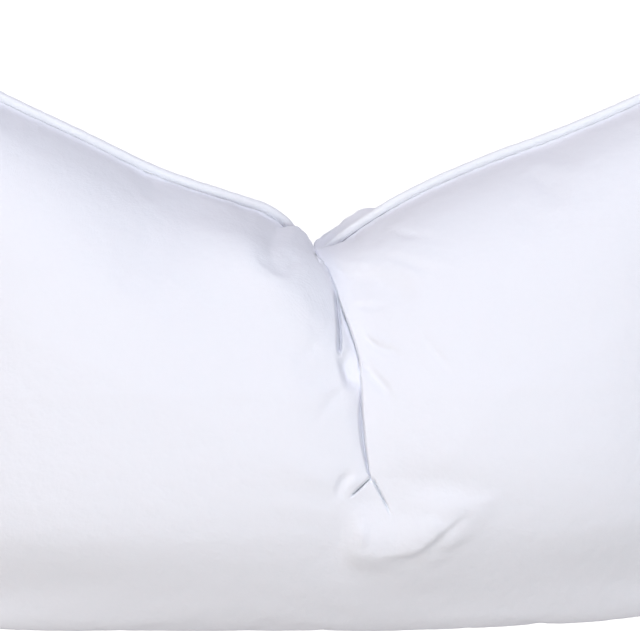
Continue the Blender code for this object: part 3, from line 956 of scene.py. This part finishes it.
# %% Place the pieces
def placed(name, mesh, material, node):
    """A piece over the origin as the measured insert is, which replaces one of its nodes."""
    mesh.materials.append(material)
    mesh.transform(Matrix.Translation(-Vector(plan_centre)))
    piece = bpy.data.objects.new(name, mesh)
    bpy.context.scene.collection.objects.link(piece)
    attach(piece, "root")
    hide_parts(node)
    return piece


cover_mesh, _, _ = two_panel_mesh("cover", front_cover, back_cover, BACK_STEP)
cover = placed("cover", cover_mesh, cover_cotton, "filled_cover")
print("cover triangles:", sum(len(face.vertices) - 2 for face in cover_mesh.polygons))

# %% [markdown]
# ## Piping
#
# The piping is a cord in a bias strip, caught in the seam. The strip is gathered a little round the cord, so it
# wrinkles aslant, and the stitches pinch it at uneven distances. It is made as rings of points along the seam.
# The wrinkles only go inwards from the cord's full radius, and they leave out the side that faces the cover and
# the few millimetres where the cord closes into a ring.

# %% Rings of the piping
CORD_STEP = 0.8 * MM
CORD_SIDES = 20
WRINKLE_DEPTH = 0.22 * MM
WRINKLE_PITCH = 2.6 * MM
WRINKLE_SLANT = 1.3
PINCH_DEPTH = 0.55 * MM
PINCH_LENGTH = 1.3 * MM
PINCH_SPACING = (6 * MM, 13 * MM)
LEAST_PINCH = 0.3
JOIN_LENGTH = 5 * MM
SEAM_SIDE_NARROWNESS = 4


def pinches(places, total, seed):
    """How strongly the stitches pinch the strip at these places along the seam, from 0 to 1."""
    random = np.random.default_rng(seed)
    stitches = np.cumsum(random.uniform(*PINCH_SPACING, size=int(total / PINCH_SPACING[0])))
    stitches = stitches[stitches < total - PINCH_SPACING[1]]
    strengths = random.uniform(LEAST_PINCH, 1, size=len(stitches))
    shares = np.exp(-(((places[:, None] - stitches) / PINCH_LENGTH) ** 2)) * strengths
    return shares.max(axis=1)


def piping_mesh():
    """The covered cord, as rings of points along the seam."""
    closed = np.vstack([cord_line, cord_line[:1]])
    total = lengths_along(closed)[-1]
    rings = int(total / CORD_STEP)
    places = np.linspace(0, total, rings, endpoint=False)
    centre = points_at(closed, places)
    along = np.roll(centre, -1, axis=0) - np.roll(centre, 1, axis=0)
    along /= np.linalg.norm(along, axis=1)[:, None]
    side = np.cross(along, [0, 0, 1])
    side /= np.linalg.norm(side, axis=1)[:, None]
    top = np.cross(side, along)
    angle = np.linspace(0, 2 * np.pi, CORD_SIDES, endpoint=False)[None]
    slanted = places[:, None] + WRINKLE_SLANT * CORD_RADIUS * np.sin(angle)
    wrinkle = (1 + soft_noise(slanted / WRINKLE_PITCH + 3, seed=71)) / 2
    pinch = pinches(places, total, seed=72)[:, None] * (0.6 - 0.4 * np.cos(angle))
    ends = eased(np.minimum(places, total - places) / JOIN_LENGTH)[:, None]
    off_seam = 1 - np.clip(-np.cos(angle), 0, 1) ** SEAM_SIDE_NARROWNESS
    radius = CORD_RADIUS - ends * off_seam * (WRINKLE_DEPTH * wrinkle + PINCH_DEPTH * pinch)
    points = centre[:, None] + radius[..., None] * (
        np.cos(angle)[..., None] * side[:, None] + np.sin(angle)[..., None] * top[:, None]
    )
    net = np.arange(rings * CORD_SIDES).reshape(rings, CORD_SIDES)
    after, beside = np.roll(net, -1, axis=0), np.roll(net, -1, axis=1)
    faces = np.stack([net, beside, np.roll(beside, -1, axis=0), after], axis=-1).reshape(-1, 4)
    mesh = bpy.data.meshes.new("piping")
    mesh.from_pydata(points.reshape(-1, 3).tolist(), [], faces.tolist())
    mesh.shade_smooth()
    return mesh


piping_piece = placed("piping_cord", piping_mesh(), piping_cotton, "piping")
print("piping triangles:", 2 * len(piping_piece.data.polygons))

# %% [markdown]
# ## The studio
#
# The insert lies on a plain white table under four large soft lights. The strongest stands beyond the top edge
# and the next hangs overhead, towards the base. The steep base and the left flank of the V lean away from most
# of the light and fall into soft shade. A weaker light on the left catches the right side of the crease, and a
# warm one fills the base. The table glows a little, which keeps it white, but it throws no light on the cloth.

# %% Floor, lights and sky
FLOOR_SIZE = 12.0

floor_mesh = bpy.data.meshes.new("floor")
half = FLOOR_SIZE / 2
floor_corners = [(-half, -half, 0), (half, -half, 0), (half, half, 0), (-half, half, 0)]
floor_mesh.from_pydata(floor_corners, [], [(0, 1, 2, 3)])
floor = bpy.data.objects.new("floor", floor_mesh)
bpy.context.scene.collection.objects.link(floor)
floor.visible_diffuse = False
floor_white = bpy.data.materials.new("floor_white")
floor_white.use_nodes = True
floor_shader = floor_white.node_tree.nodes["Principled BSDF"]
floor_shader.inputs["Base Color"].default_value = (0.9, 0.9, 0.9, 1)
floor_shader.inputs["Roughness"].default_value = 0.9
floor_shader.inputs["Emission Color"].default_value = (1, 1, 1, 1)
floor_shader.inputs["Emission Strength"].default_value = 0.6
floor_mesh.materials.append(floor_white)

Softbox = namedtuple("Softbox", "name place size power colour")
SOFTBOXES = (
    Softbox("overhead_softbox", (0, -1.3, 3.0), 1.5, 46, (0.88, 0.98, 1.0)),
    Softbox("window_top", (0, 2.6, 2.2), 1.5, 66, (0.88, 0.87, 1.0)),
    Softbox("window_left", (-2.6, 0, 2.2), 1.5, 19, (1.0, 0.85, 0.7)),
    Softbox("warm_fill", (0, -2.6, 2.2), 1.5, 12, (1.0, 0.55, 0.6)),
)
for box in SOFTBOXES:
    light = bpy.data.lights.new(box.name, "AREA")
    light.size = box.size
    light.energy = box.power
    light.color = box.colour
    lamp = bpy.data.objects.new(box.name, light)
    lamp.location = box.place
    lamp.rotation_mode = "QUATERNION"
    lamp.rotation_quaternion = (-Vector(box.place)).to_track_quat("-Z", "Y")
    lamp.visible_camera = False
    bpy.context.scene.collection.objects.link(lamp)

sky = bpy.data.worlds.new("studio")
bpy.context.scene.world = sky
sky.use_nodes = True
background = sky.node_tree.nodes["Background"]
background.inputs["Color"].default_value = (1, 1, 1, 1)
background.inputs["Strength"].default_value = 0.2
bpy.context.scene.view_settings.view_transform = "Standard"
